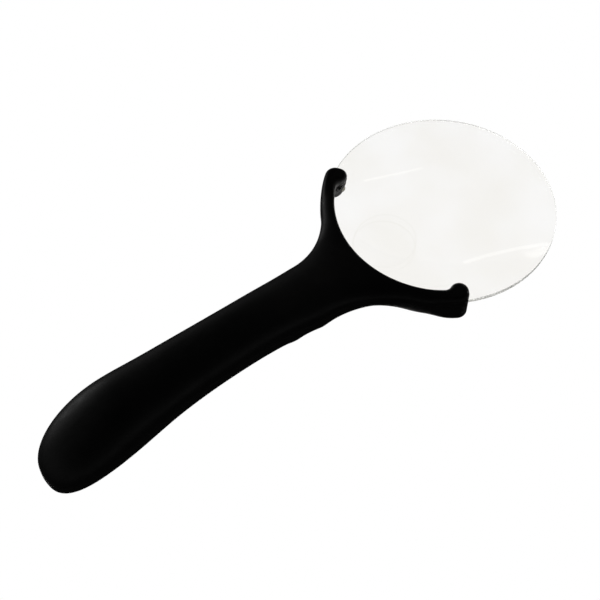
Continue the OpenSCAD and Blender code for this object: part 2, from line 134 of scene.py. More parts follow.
WIRE_ENTRY = np.array((61.5, 5.0))
WIRE_HEIGHTS = (5.4, 11)
GROOVE_HALF = 0.85
SLOT_HALF = 1.3


# ---------------------------------------------------------------------------------------------
# The handle's form: smooth curves through a few (back, value) rows
# ---------------------------------------------------------------------------------------------
FLARE_Y = NECK_W / 2 + FLARE_R
FLARE_BACK = math.sqrt((ARM_OUTER + FLARE_R) ** 2 - FLARE_Y**2)
WIDTH_ROWS = [
    (FLARE_BACK - 10, NECK_W / 2), (FLARE_BACK, NECK_W / 2), (98, WAIST_W / 2), (118, WAIST_W / 2),
    (146, 0.3 * WAIST_W + 0.2 * BUTT_W - 0.3), (BUTT_BACK, BUTT_W / 2), (REACH, BUTT_W / 2),
]
SEAM_ROWS = [
    (30, LENS_Z), (58, LENS_Z), (78, 10.4), (100, 14), (130, 16.6), (152, 16.8), (172, 14.8),
    (188, 11), (REACH, 4),
]
ROOF_ROWS = [
    (30, 13.6), (54, 14.4), (75, 17.9), (100, 23), (130, 25.5), (152, 26.6), (172, 27),
    (190, 21), (REACH, 15),
]
FLOOR_ROWS = [
    (30, 0.6), (54, -0.2), (70, -0.2), (90, 2.1), (110, 4.9), (130, 6.4), (150, 6.2), (172, 4.4),
    (184, 3), (191, 1.2), (198, -0.9), (REACH, -3.3),
]


def curve(t, rows):
    """The smooth curve through rows, read at each t."""
    x, y = np.array(rows, float).T
    last = len(x) - 1
    before = np.maximum(np.arange(last + 1) - 1, 0)
    after = np.minimum(np.arange(last + 1) + 1, last)
    slope = (y[after] - y[before]) / (x[after] - x[before])
    i = np.clip(np.searchsorted(x, t, side="right") - 1, 0, last - 1)
    h = x[i + 1] - x[i]
    s = (t - x[i]) / h
    return (
        y[i] * (2 * s**3 - 3 * s**2 + 1) + h * slope[i] * (s**3 - 2 * s**2 + s)
        + y[i + 1] * (3 * s**2 - 2 * s**3) + h * slope[i + 1] * (s**3 - s**2)
    )


def butt_round(back, power):
    s = np.clip((back - BUTT_BACK) / (REACH - BUTT_BACK), 0, 1)
    return (1 - s**power) ** (1 / power)


def half_w(back):
    return curve(back, WIDTH_ROWS) * butt_round(back, 2.6)


def seam(back):
    return curve(back, SEAM_ROWS)


def ridge(back):
    """Two finger ridges under the neck, one on each side of the switch."""
    near, far = ((back - SWITCH_BACK + side * 6.8) / 3.4 for side in (-1, 1))
    return 1.3 * (np.exp(-(near**2)) + np.exp(-(far**2)))


def rise(back):
    return (curve(back, ROOF_ROWS) - seam(back) - LAND) * butt_round(back, 2.3)


def drop(back):
    plain = (seam(back) - curve(back, FLOOR_ROWS) - LAND) * butt_round(back, 7.5)
    return plain + ridge(back)


def floor_at(back):
    return seam(back) - LAND - drop(back)


def roof_at(back):
    return seam(back) + LAND + rise(back)


def bulge(v, crown):
    return (1 - (1 - v) ** crown) ** (1 / crown)


def round_off(d, r):
    """Height that an edge rounded by r loses at distance d inside it."""
    e = np.clip(1 - d / r, 0, 1)
    return r * (1 - np.sqrt(1 - e**2))


def smoothstep(t):
    t = np.clip(t, 0, 1)
    return t * t * (3 - 2 * t)


# ---------------------------------------------------------------------------------------------
# Plan outline of one side: handle, flare, arm and the lobe that grips the lens
# ---------------------------------------------------------------------------------------------
def polar(r, degrees):
    a = np.radians(degrees)
    return np.stack([r * np.cos(a), r * np.sin(a)], -1)


def arc(centre, r, start, end, n=80):
    return np.asarray(centre) + polar(r, np.linspace(start, end, n))


def heading(v):
    return math.degrees(math.atan2(v[1], v[0]))


def resample(line, shares):
    """Points at these shares of a polyline's length."""
    run = np.r_[0, np.cumsum(np.linalg.norm(np.diff(line, axis=0), axis=1))]
    return np.stack([np.interp(np.asarray(shares) * run[-1], run, line[:, k]) for k in (0, 1)], -1)


LOBE_IN_R = 4.0
LOBE_OUT_R = 4.5
LOBE_FILLET = 3.0
OUTWARD = polar(1, JAW_ANGLE)
ONWARD = polar(1, JAW_ANGLE + 90)


def lobe_arcs():
    """The outer and inner edges of the lobe, each from the arm to the flat end face."""
    inner = (JAW_BACK - JAW_R + LOBE_IN_R) * OUTWARD + (JAW_R - LOBE_IN_R) * ONWARD
    along = JAW_R - LOBE_OUT_R
    outer = math.sqrt((ARM_OUTER - LOBE_OUT_R) ** 2 - along**2) * OUTWARD + along * ONWARD
    reach = np.linalg.norm(inner)
    dent_back = FORK_INNER - LOBE_FILLET
    turn = math.degrees(math.acos(
        (reach**2 + dent_back**2 - (LOBE_IN_R + LOBE_FILLET) ** 2) / (2 * reach * dent_back)
    ))
    start = heading(inner) - turn
    dent = polar(dent_back, start)
    inner_edge = np.concatenate([
        arc(dent, LOBE_FILLET, start, heading(inner - dent)),
        arc(inner, LOBE_IN_R, heading(dent - inner) + 360, JAW_ANGLE + 90)[1:],
    ])
    outer_edge = np.concatenate([
        arc((0, 0), ARM_OUTER, start, heading(outer)),
        arc(outer, LOBE_OUT_R, heading(outer), JAW_ANGLE + 90)[1:],
    ])
    return start, outer_edge, inner_edge


ARM_END, LOBE_OUTER, LOBE_INNER = lobe_arcs()
FLARE_END = heading((FLARE_BACK, FLARE_Y))


def plan_rows():
    """Outer and inner plan points of every row, and the row where the inner edge leaves the spine."""
    turn = np.radians(np.linspace(1.5, 90, 56))
    butt = BUTT_BACK + (REACH - BUTT_BACK) * np.cos(turn) ** (2 / 2.6)
    back = np.r_[butt, np.linspace(BUTT_BACK, FLARE_BACK, 150)[1:]]
    handle_outer = np.stack([back, half_w(back)], -1)
    handle_inner = np.stack([back, 0 * back], -1)
    web = FLARE_BACK - FORK_INNER
    arm = math.radians(ARM_END) * FORK_INNER
    split = web / (web + arm)
    web_shares = np.linspace(0, split, 48)[1:]
    arm_shares = np.linspace(split, 1, 80)[1:]
    outer_line = np.concatenate([
        arc((FLARE_BACK, FLARE_Y), FLARE_R, -90, FLARE_END - 180),
        arc((0, 0), ARM_OUTER, FLARE_END, ARM_END)[1:],
    ])
    fork_outer = resample(outer_line, np.r_[web_shares, arm_shares])
    web_inner = np.stack([FLARE_BACK - web * web_shares / split, 0 * web_shares], -1)
    arm_inner = polar(FORK_INNER, ARM_END * (arm_shares - split) / (1 - split))
    lobe_shares = np.linspace(0, 1, 60)[1:]
    outer = np.concatenate([handle_outer, fork_outer, resample(LOBE_OUTER, lobe_shares)])
    inner = np.concatenate([handle_inner, web_inner, arm_inner, resample(LOBE_INNER, lobe_shares)])
    return outer, inner, len(back) + len(web_shares) - 1


OUTER, INNER, APEX = plan_rows()
LAST_ROW = len(OUTER) - 1
COLS = 40
ACROSS = (1 - np.cos(np.linspace(0, np.pi, COLS + 1))) / 2


def distance_to(points, line):
    """Distance of each plan point from a polyline."""
    a, run = line[:-1], np.diff(line, axis=0)
    rel = points[:, None, :] - a[None]
    t = np.clip((rel * run).sum(-1) / np.maximum((run**2).sum(-1), 1e-12), 0, 1)
    return np.linalg.norm(rel - t[..., None] * run, axis=-1).min(1)


# ---------------------------------------------------------------------------------------------
# Solids
# ---------------------------------------------------------------------------------------------
def make(name, points, faces, weld=1e-4):
    """An object in millimetres, with coinciding points joined and its faces turned outwards."""
    mesh = bpy.data.meshes.new(name)
    mesh.from_pydata([tuple(map(float, p)) for p in points], [], [tuple(f) for f in faces])
    form = bmesh.new()
    form.from_mesh(mesh)
    bmesh.ops.remove_doubles(form, verts=form.verts, dist=weld)
    bmesh.ops.dissolve_degenerate(form, edges=form.edges, dist=weld / 2)
    bmesh.ops.recalc_face_normals(form, faces=form.faces)
    form.to_mesh(mesh)
    form.free()
    obj = bpy.data.objects.new(name, mesh)
    bpy.context.scene.collection.objects.link(obj)
    return obj


def shell_heights(plan, up):
    """Height of the outer surface above or below the seam at each point of the plan grid."""
    flat = plan.reshape(-1, 2)
    back = flat[:, 0]
    v = np.tile(ACROSS, LAST_ROW + 1)
    fork_edge = INNER[APEX:]
    mirrored = fork_edge[::-1] * (1, -1)
    inside = distance_to(flat, np.concatenate([mirrored, fork_edge]))
    lobe_edge = np.concatenate([OUTER[APEX:], plan[-1, 1:-1], fork_edge[::-1]])
    anywhere = distance_to(flat, lobe_edge)
    to_lobe = np.linalg.norm(flat - JAW_BACK * OUTWARD, axis=1)
    lobe = 1 - smoothstep((to_lobe - 4.5) / 9.5)
    if up:
        arm_h = LAND + rise(back) * bulge(v, ROOF_CROWN) - round_off(inside, 1.3)
        lobe_h = JAW_TOP - round_off(anywhere, 2.0)
    else:
        arm_h = LAND + drop(back) * bulge(v, FLOOR_CROWN) - round_off(inside, 1.3)
        lobe_h = LENS_Z - round_off(anywhere, 1.6)
    return ((1 - lobe) * arm_h + lobe * lobe_h).reshape(plan.shape[:2])


def skin(name, up):
    """One shell as a full solid: its outer surface, and below it a seam face inset by a fine groove."""
    plan = OUTER[:, None] * (1 - ACROSS[None, :, None]) + INNER[:, None] * ACROSS[None, :, None]
    sign = 1 if up else -1
    height = shell_heights(plan, up)
    level = seam(plan[..., 0])
    if not up:
        height = np.minimum(height, level)
    grid = np.concatenate([plan, (level + sign * height)[..., None]], -1)
    cols = COLS + 1
    points = [tuple(p) for p in grid.reshape(-1, 3)]
    faces = [
        (i * cols + j, i * cols + j + 1, (i + 1) * cols + j + 1, (i + 1) * cols + j)
        for i in range(LAST_ROW) for j in range(COLS)
    ]
    rim = [(0, j) for j in range(COLS, -1, -1)] + [(i, 0) for i in range(1, LAST_ROW + 1)]
    rim += [(LAST_ROW, j) for j in range(1, cols)] + [(i, COLS) for i in range(LAST_ROW - 1, APEX - 1, -1)]
    line = np.array([plan[i, j] for i, j in rim])
    whole = np.concatenate([line[1:2] * (1, -1), line, line[-2:-1] * (1, -1)])
    along = whole[2:] - whole[:-2]
    inward = np.stack([along[:, 1], -along[:, 0]], -1) / np.linalg.norm(along, axis=1)[:, None]
    if np.dot(inward[0], (-1, 0)) < 0:
        inward = -inward
    loops = [[i * cols + j for i, j in rim]]
    for inset, lift in ((0.0, 0.2), (0.16, 0.06), (0.16, 0.0)):
        loops.append(list(range(len(points), len(points) + len(rim))))
        place = line + inset * inward
        points += [(b, y, z + sign * lift) for (b, y), z in zip(place, seam(line[:, 0]))]
    for upper, lower in zip(loops, loops[1:]):
        faces += [(upper[k], upper[k + 1], lower[k + 1], lower[k]) for k in range(len(rim) - 1)]
    foot = dict(zip(rim, loops[-1]))
    for i in range(1, APEX):
        foot[(i, COLS)] = len(points)
        points.append((plan[i, COLS, 0], 0.0, level[i, COLS]))
    for i in range(1, LAST_ROW - 1):
        faces.append((foot[(i, 0)], foot[(i + 1, 0)], foot[(i + 1, COLS)], foot[(i, COLS)]))
    faces.append([foot[(0, j)] for j in range(cols)] + [foot[(1, COLS)], foot[(1, 0)]])
    end = LAST_ROW - 1
    faces.append([foot[(end, COLS)], foot[(end, 0)]] + [foot[(LAST_ROW, j)] for j in range(cols)])
    n = len(points)
    points += [(b, -y, z) for b, y, z in points]
    faces += [[k + n for k in face] for face in faces]
    return make(name, [(LENS_X - b, y, z) for b, y, z in points], faces)


def loft(name, rings):
    """A closed solid through rings of points, each ring capped or shrunk to nothing at the ends."""
    m = len(rings[0])
    faces = [
        (i * m + k, i * m + (k + 1) % m, (i + 1) * m + (k + 1) % m, (i + 1) * m + k)
        for i in range(len(rings) - 1) for k in range(m)
    ]
    faces += [list(range(m)), list(range((len(rings) - 1) * m, len(rings) * m))]
    return make(name, [p for ring in rings for p in ring], faces)


def hollow(skin_t):
    """The space inside the two shells, with walls of skin_t."""
    turn = np.radians(360 * (np.arange(72) + 0.5) / 72)
    c, s = np.cos(turn), np.sin(turn)
    power = np.where(s > 0, 2 / 2.2, 2 / 2.6)
    rings = []
    for back in np.linspace(62, 198, 110):
        high = np.where(s > 0, rise(back) - skin_t, drop(back) - ridge(back) - skin_t)
        y = (half_w(back) - skin_t) * np.sign(c) * np.abs(c) ** power
        z = seam(back) + high * np.sign(s) * np.abs(s) ** power
        rings.append([(LENS_X - back, a, b) for a, b in zip(y, z)])
    return loft("hollow", rings)


def rounded_box(back, half, heights, r=0.0, side=0.0, steps=6):
    """A block from back[0] to back[1], half wide each way from side, with corners of radius r in plan."""
    corners = [(back[0], side - half), (back[1], side - half), (back[1], side + half), (back[0], side + half)]
    if r > 0:
        mids = [
            (back[0] + r, side - half + r, 180), (back[1] - r, side - half + r, 270),
            (back[1] - r, side + half - r, 0), (back[0] + r, side + half - r, 90),
        ]
        corners = [p for b, y, a in mids for p in arc((b, y), r, a, a + 90, steps)]
    return loft("block", [[(LENS_X - b, y, z) for b, y in corners] for z in heights])


def turned(name, profile, origin, axis=(0, 0, 1), n=96):
    """A solid of revolution from (radius, height) points, its axis through origin."""
    spin = Vector((0, 0, 1)).rotation_difference(Vector(axis)).to_matrix()
    turn = np.linspace(0, 2 * np.pi, n, endpoint=False)
    rings = [
        [
            tuple(Vector(origin) + spin @ Vector((max(r, 0) * math.cos(a), max(r, 0) * math.sin(a), h)))
            for a in turn
        ]
        for r, h in profile
    ]
    return loft(name, rings)


def post(back, r, heights):
    """An upright round bar."""
    return turned("post", [(r, heights[0]), (r, heights[1])], (LENS_X - back, 0, 0), n=48)


def combine(target, tool, operation="DIFFERENCE"):
    """Joins a tool to a solid, cuts it away or keeps what they share, and removes the tool."""
    step = target.modifiers.new("combine", "BOOLEAN")
    step.operation = operation
    step.solver = "MANIFOLD"
    step.object = tool
    bpy.context.view_layer.update()
    found = target.evaluated_get(bpy.context.evaluated_depsgraph_get())
    mesh = bpy.data.meshes.new_from_object(found)
    target.modifiers.clear()
    target.data = mesh
    bpy.data.objects.remove(tool)
    return target


def settle(obj, body, materials, replaces=(), smooth=32):
    """Scales a finished solid into the frame, shades it, gives it its materials and its body."""
    obj.data.transform(Matrix.Scale(MM, 4))
    obj.data.materials.clear()
    for material in materials:
        obj.data.materials.append(material)
    obj.data.shade_smooth()
    obj.data.set_sharp_from_angle(angle=math.radians(smooth))
    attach(obj, body)
    if replaces:
        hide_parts(*replaces)
    return obj


# ---------------------------------------------------------------------------------------------
# Materials
# ---------------------------------------------------------------------------------------------
class Finish:
    """A material with one Principled shader, and short ways to add nodes to it."""

    def __init__(self, name, colour, roughness, metallic=0.0, **sockets):
        self.material = bpy.data.materials.new(name)
        self.material.use_nodes = True
        self.tree = self.material.node_tree
        self.shader = self.tree.nodes["Principled BSDF"]
        self.set(self.shader, "Base Color", (*colour, 1.0))
        self.set(self.shader, "Roughness", roughness)
        self.set(self.shader, "Metallic", metallic)
        for key, value in sockets.items():
            self.set(self.shader, key.replace("_", " "), value)
        self.place = self.tree.nodes.new("ShaderNodeTexCoord").outputs["Object"]

    def set(self, node, socket, value):
        if isinstance(value, bpy.types.NodeSocket):
            self.tree.links.new(value, node.inputs[socket])
        else:
            node.inputs[socket].default_value = value

    def noise(self, size, detail=3.0, stretch=None):
        """Noise whose blotches are about size millimetres across."""
        node = self.tree.nodes.new("ShaderNodeTexNoise")
        place = self.place
        if stretch:
            scaled = self.tree.nodes.new("ShaderNodeMapping")
            self.set(scaled, "Vector", self.place)
            scaled.inputs["Scale"].default_value = stretch
            place = scaled.outputs[0]
        self.set(node, "Vector", place)
        self.set(node, "Scale", 1 / (size * MM))
        self.set(node, "Detail", detail)
        return node.outputs["Fac"]

    def cells(self, size, feature="F1"):
        node = self.tree.nodes.new("ShaderNodeTexVoronoi")
        node.feature = feature
        self.set(node, "Vector", self.place)
        self.set(node, "Scale", 1 / (size * MM))
        return node.outputs["Distance"]

    def between(self, value, low, high, start=0.0, end=1.0):
        """Maps value from start..end to low..high, held at the ends."""
        node = self.tree.nodes.new("ShaderNodeMapRange")
        self.set(node, "Value", value)
        for socket, number in (("From Min", start), ("From Max", end), ("To Min", low), ("To Max", high)):
            self.set(node, socket, number)
        return node.outputs["Result"]

    def mixed(self, share, first, second):
        node = self.tree.nodes.new("ShaderNodeMix")
        node.data_type = "RGBA"
        self.set(node, 0, share)
        for socket, colour in ((6, first), (7, second)):
            self.set(node, socket, colour if isinstance(colour, bpy.types.NodeSocket) else (*colour, 1.0))
        return node.outputs[2]

    def maths(self, operation, first, second):
        node = self.tree.nodes.new("ShaderNodeMath")
        node.operation = operation
        self.set(node, 0, first)
        self.set(node, 1, second)
        return node.outputs[0]

    def bump(self, height, depth, strength=1.0, over=None):
        """A surface that stands depth millimetres higher where height is 1."""
        node = self.tree.nodes.new("ShaderNodeBump")
        self.set(node, "Height", height)
        self.set(node, "Distance", depth * MM)
        self.set(node, "Strength", strength)
        if over is not None:
            self.set(node, "Normal", over)
        return node.outputs["Normal"]

    def edges(self, start=0.5, end=0.6):
        """1 on worn convex edges and 0 elsewhere."""
        node = self.tree.nodes.new("ShaderNodeNewGeometry")
        return self.between(node.outputs["Pointiness"], 0.0, 1.0, start, end)

    def along(self, axis):
        """One of the piece's own coordinates, in metres."""
        node = self.tree.nodes.new("ShaderNodeSeparateXYZ")
        self.set(node, 0, self.place)
        return node.outputs[axis]


def soft_touch(name, tone=1.0, grain=0.32):
    """Rubbery black moulded plastic: fine grain, faint handling marks and slightly polished edges."""
    f = Finish(
        name, (0.012, 0.012, 0.0125), 0.5, Specular_IOR_Level=0.32, Sheen_Weight=0.05, Sheen_Roughness=0.45,
    )
    blotch = f.noise(14, 4)
    wear = f.edges(0.52, 0.62)
    dark, pale = (0.0075 * tone,) * 3, (0.0125 * tone, 0.0122 * tone, 0.012 * tone)
    colour = f.mixed(f.between(blotch, 0, 1, 0.35, 0.65), dark, pale)
    f.set(f.shader, "Base Color", f.mixed(f.maths("MULTIPLY", wear, 0.5), colour, (0.03, 0.029, 0.028)))
    marks = f.noise(5, 6, (1, 2.2, 1))
    rough = f.between(marks, 0.40, 0.52, 0.3, 0.7)
    f.set(f.shader, "Roughness", f.maths("SUBTRACT", rough, f.maths("MULTIPLY", wear, 0.1)))
    fine = f.bump(f.cells(grain), 0.012, 0.6)
    f.set(f.shader, "Normal", f.bump(f.noise(0.9, 2), 0.006, 0.5, fine))
    return f.material


def blend(tree, share, first, second):
    """The first shader where share is 0, and the second where it is 1."""
    mix = tree.nodes.new("ShaderNodeMixShader")
    tree.links.new(share, mix.inputs[0])
    tree.links.new(first, mix.inputs[1])
    tree.links.new(second, mix.inputs[2])
    return mix.outputs[0]


def see_through(f, tint):
    """Lets lamps shine through a clear material with this tint."""
    tree = f.tree
    lamp = tree.nodes.new("ShaderNodeLightPath").outputs["Is Shadow Ray"]
    through = tree.nodes.new("ShaderNodeBsdfTransparent")
    through.inputs["Color"].default_value = (tint, tint, tint, 1)
    whole = blend(tree, lamp, f.shader.outputs[0], through.outputs[0])
    tree.links.new(whole, tree.nodes["Material Output"].inputs["Surface"])
    return f.material


def clear_acrylic():
    """Polished acrylic, its tint darkened in soft random clouds and in a faint ring where the stronger spot
    begins: painted shade for the darker patches and the rim line that a clear lens shows by bending light.
    """
    f = Finish("lens_clear", (0.99, 0.99, 0.98), 0.012, IOR=1.49, Transmission_Weight=1.0)
    # painted shade: soft random clouds of darker, warmer tint stand in for the faint darker patches that a
    # clear lens shows by refraction
    painted_cloud_shade = f.between(f.noise(30, 2), 0, 1, 0.38, 0.66)
    body = f.mixed(painted_cloud_shade, (0.985, 0.982, 0.972), (0.945, 0.934, 0.902))
    x = f.maths("SUBTRACT", f.along("X"), (LENS_X - SPOT_BACK) * MM)
    y = f.along("Y")
    out = f.maths("SQRT", f.maths("ADD", f.maths("MULTIPLY", x, x), f.maths("MULTIPLY", y, y)), 0.0)
    off = f.maths("ABSOLUTE", f.maths("SUBTRACT", out, SPOT_D / 2 * MM), 0.0)
    # painted shade: a ring of darker tint along the spot's rim draws the line that the spot's edge shows by
    # bending light
    ring = f.between(off, 1.0, 0.0, 0.1 * MM, 0.7 * MM)
    f.set(f.shader, "Base Color", f.mixed(f.maths("MULTIPLY", ring, 0.6), body, (0.9, 0.89, 0.85)))
    f.set(f.shader, "Normal", f.bump(f.noise(22, 2), 0.01, 0.25))
    f.set(f.shader, "Roughness", f.between(f.noise(9, 5), 0.004, 0.022, 0.35, 0.7))
    return see_through(f, 0.94)


def ground_edge():
    """The lens's rim, smoothed but not polished, with its tint darkened to a patchy grey: painted shade for
    the dark line that light held inside the lens shows along the rim.
    """
    f = Finish("lens_edge", (0.85, 0.85, 0.82), 0.25, IOR=1.49, Transmission_Weight=1.0)
    share = f.between(f.noise(4, 4), 0, 1, 0.35, 0.7)
    # painted shade: the rim's tint is darkened to grey to draw the dark line along the lens's edge
    f.set(f.shader, "Base Color", f.mixed(share, (0.42, 0.42, 0.4), (0.6, 0.6, 0.57)))
    f.set(f.shader, "Roughness", f.between(f.noise(1.2, 4, (1, 1, 6)), 0.18, 0.34, 0.3, 0.7))
    f.set(f.shader, "Normal", f.bump(f.noise(0.25, 2, (1, 1, 8)), 0.006, 0.5))
    return see_through(f, 0.8)


def led_epoxy():
    """Water-clear epoxy, slightly cloudy, with a pale yellow phosphor deep inside."""
    f = Finish("led_clear", (0.93, 0.93, 0.86), 0.08, IOR=1.53, Transmission_Weight=0.55)
    share = f.between(f.noise(1.1, 3), 0, 1, 0.42, 0.62)
    f.set(f.shader, "Base Color", f.mixed(share, (0.95, 0.95, 0.92), (0.86, 0.82, 0.5)))
    f.set(f.shader, "Roughness", f.between(f.noise(0.6, 3), 0.05, 0.14, 0.3, 0.7))
    f.set(f.shader, "Normal", f.bump(f.noise(1.6, 2), 0.01, 0.4))
    return f.material


def metal(name, colour, low=0.22, high=0.4, brush=None, dull=(0.55, 0.52, 0.48)):
    """Plated or brushed metal: fine scratches along one way and slight tarnish."""
    f = Finish(name, colour, 0.3, 1.0)
    tarnish = f.between(f.noise(2.4, 5), 0, 0.35, 0.45, 0.8)
    f.set(f.shader, "Base Color", f.mixed(tarnish, colour, tuple(a * b for a, b in zip(colour, dull))))
    grain = f.noise(0.5, 3, brush or (1, 1, 1))
    f.set(f.shader, "Roughness", f.between(grain, low, high, 0.3, 0.7))
    f.set(f.shader, "Normal", f.bump(f.noise(0.18, 2, brush or (1, 1, 1)), 0.008, 0.5))
    return f.material


def insulation(name, colour):
    """Thin PVC insulation with a slight flow along the wire."""
    f = Finish(name, colour, 0.38, Specular_IOR_Level=0.5)
    pale = tuple(min(1, c * 1.35 + 0.01) for c in colour)
    f.set(f.shader, "Base Color", f.mixed(f.between(f.noise(1.5, 4), 0, 1, 0.35, 0.7), colour, pale))
    f.set(f.shader, "Roughness", f.between(f.noise(0.7, 3), 0.3, 0.48, 0.3, 0.7))
    f.set(f.shader, "Normal", f.bump(f.noise(0.35, 2), 0.01, 0.5))
    return f.material


def solder_mask():
    """Green solder mask over glass cloth: a weave, lighter copper tracks under it and round vias."""
    f = Finish("board_green", (0.02, 0.16, 0.06), 0.3, Coat_Weight=0.25, Coat_Roughness=0.12)
    x, y = f.along("X"), f.along("Y")
    lane = f.maths("SINE", f.maths("MULTIPLY", y, 2 * math.pi / (2.5 * MM)), 0.0)
    cross = f.maths("SINE", f.maths("MULTIPLY", x, 2 * math.pi / (8.5 * MM)), 0.0)
    switch = f.between(f.noise(4.5, 0), 0, 1, 0.49, 0.51)
    track = f.between(f.maths("MAXIMUM", f.maths("MULTIPLY", lane, switch), cross), 0, 1, 0.86, 0.9)
    via = f.between(f.cells(3.1), 1, 0, 0.10, 0.12)
    weave = f.maths("MULTIPLY",
                    f.maths("SINE", f.maths("MULTIPLY", x, 2 * math.pi / (0.5 * MM)), 0.0),
                    f.maths("SINE", f.maths("MULTIPLY", y, 2 * math.pi / (0.5 * MM)), 0.0))
    green = f.mixed(track, (0.012, 0.12, 0.045), (0.035, 0.24, 0.08))
    f.set(f.shader, "Base Color", f.mixed(via, green, (0.55, 0.5, 0.38)))
    f.set(f.shader, "Metallic", f.maths("MULTIPLY", via, 0.8))
    f.set(f.shader, "Roughness", f.between(weave, 0.26, 0.4, -1, 1))
    raised = f.bump(f.maths("ADD", track, via), 0.035, 0.8)
    f.set(f.shader, "Normal", f.bump(weave, 0.006, 0.5, raised))
    return f.material


def moulded(name, colour, size=0.3, low=0.4, high=0.6, depth=0.012):
    """Plain moulded resin or ferrite with a fine sparkling grain."""
    f = Finish(name, colour, 0.5)
    pale = tuple(min(1, c * 1.6 + 0.01) for c in colour)
    f.set(f.shader, "Base Color", f.mixed(f.between(f.noise(size * 4, 4), 0, 1, 0.35, 0.7), colour, pale))
    f.set(f.shader, "Roughness", f.between(f.noise(size * 3, 4), low, high, 0.3, 0.7))
    f.set(f.shader, "Normal", f.bump(f.noise(size, 3), depth, 0.7))
    return f.material


def cell_sleeve():
    """A plain two-tone printed sleeve: slate blue with a copper band near the positive end."""
    f = Finish("battery_sleeve", (0.12, 0.18, 0.23), 0.26, Coat_Weight=0.6, Coat_Roughness=0.08)
    share = f.between(f.noise(7, 3), 0, 1, 0.35, 0.7)
    slate = f.mixed(share, (0.055, 0.085, 0.115), (0.075, 0.11, 0.145))
    f.set(f.shader, "Base Color", slate)
    f.set(f.shader, "Metallic", f.between(f.noise(3, 2), 0.35, 0.55, 0.3, 0.7))
    f.set(f.shader, "Roughness", f.between(f.noise(2, 4, (0.4, 1, 1)), 0.22, 0.36, 0.3, 0.7))
    f.set(f.shader, "Normal", f.bump(f.noise(3.5, 2, (0.5, 1, 1)), 0.02, 0.5))
    return f.material


def copper_band():
    f = Finish("battery_band", (0.45, 0.2, 0.08), 0.28, 0.8, Coat_Weight=0.6, Coat_Roughness=0.08)
    share = f.between(f.noise(4, 4), 0, 1, 0.35, 0.7)
    f.set(f.shader, "Base Color", f.mixed(share, (0.42, 0.18, 0.07), (0.55, 0.27, 0.12)))
    f.set(f.shader, "Roughness", f.between(f.noise(1.5, 4), 0.2, 0.36, 0.3, 0.7))
    f.set(f.shader, "Normal", f.bump(f.noise(3, 2), 0.02, 0.4))
    return f.material


BLACK = soft_touch("shell_black")
DOOR_BLACK = soft_touch("door_black", 1.1, 0.36)
BUTTON_BLACK = moulded("button_black", (0.022, 0.022, 0.023), 0.25, 0.38, 0.55, 0.02)
ACRYLIC = clear_acrylic()
EDGE = ground_edge()
EPOXY = led_epoxy()
TINNED = metal("steel_plated", (0.7, 0.7, 0.71), 0.2, 0.36, (1, 6, 1))
SCREW = metal("screw_steel", (0.42, 0.42, 0.44), 0.26, 0.42)
SPRING = metal("spring_steel", (0.72, 0.72, 0.7), 0.16, 0.3)
NICKEL = metal("contact_nickel", (0.74, 0.73, 0.69), 0.18, 0.34, (1, 1, 8))
RED = insulation("wire_red", (0.42, 0.012, 0.012))
DARK = insulation("wire_black", (0.014, 0.014, 0.015))
MASK = solder_mask()
RESIN = moulded("chip_black", (0.02, 0.02, 0.021), 0.12, 0.45, 0.62, 0.01)
FERRITE = moulded("ferrite", (0.05, 0.048, 0.047), 0.16, 0.55, 0.75, 0.03)
SLEEVE = cell_sleeve()
BAND = copper_band()


# ---------------------------------------------------------------------------------------------
# The two shells and the battery door
# ---------------------------------------------------------------------------------------------
def lens_solid(extra=0.0, edge=0.0):
    """The lens as a biconvex disc, grown by extra, with its rim eased by edge."""
    r = LENS_R + extra
    half = LENS_EDGE / 2 + extra
    radii = r * np.sin(np.linspace(0.0, np.pi / 2, 60)) - edge * np.linspace(0, 1, 60) ** 8
    heights = half + sag(LENS_R) - sag(np.minimum(radii, LENS_R))
    top = [(a, h) for a, h in zip(radii[1:], heights[1:])]
    rim = [(r, half - edge), (r, edge - half)] if edge else []
    profile = top + rim + [(a, -h) for a, h in reversed(top)]
    profile = [(0.0, half + sag(LENS_R))] + profile + [(0.0, -half - sag(LENS_R))]
    return turned("lens_form", profile, (LENS_X, 0, LENS_Z), n=288)


def jaw_point(side, inwards, across=0.0, z=4.3):
    """A point in a jaw: inwards of its centre towards the lens's middle, and across to its side."""
    c = polar(JAW_BACK - inwards, JAW_ANGLE) + across * ONWARD
    return Vector((LENS_X - c[0], side * c[1], z))


def upper_shell():
    shell = skin("upper_cover", True)
    combine(shell, hollow(WALL))
    for back, _, _ in SHELL_SCREWS[1:]:
        heights = (float(seam(back)) + 0.7, float(roof_at(back + 3)) - 1.2)
        combine(shell, post(back, 3, heights), "UNION")
    for back in RIBS:
        rib = rounded_box((back, back + 1.6), 7, (CELL_Z + 3, float(roof_at(back)) - 1.25))
        for side in (-1, 1):
            place = (LENS_X - back - 5, side * CELL_Y, CELL_Z)
            combine(rib, turned("seat", [(CELL_R + 0.25, 0), (CELL_R + 0.25, 9)], place, (1, 0, 0)))
        combine(shell, rib, "UNION")
    combine(shell, lens_solid(0.08))
    for back, _, tip in SHELL_SCREWS:
        combine(shell, post(back, 1.25, (LENS_Z - 1, tip + 0.6)))
    return settle(shell, "handle", [BLACK], ["upper_shell"])


def screw_well(back, seat, mouth):
    """A flat-bottomed well for a screw head, with a narrower hole on for its shank."""
    profile = [
        (3.0, -3), (3.0, mouth), (2.6, mouth + 0.4), (2.6, seat + 0.02), (1.45, seat + 0.021), (1.45, 30),
    ]
    return turned("well", profile, (LENS_X - back, 0, 0), n=64)


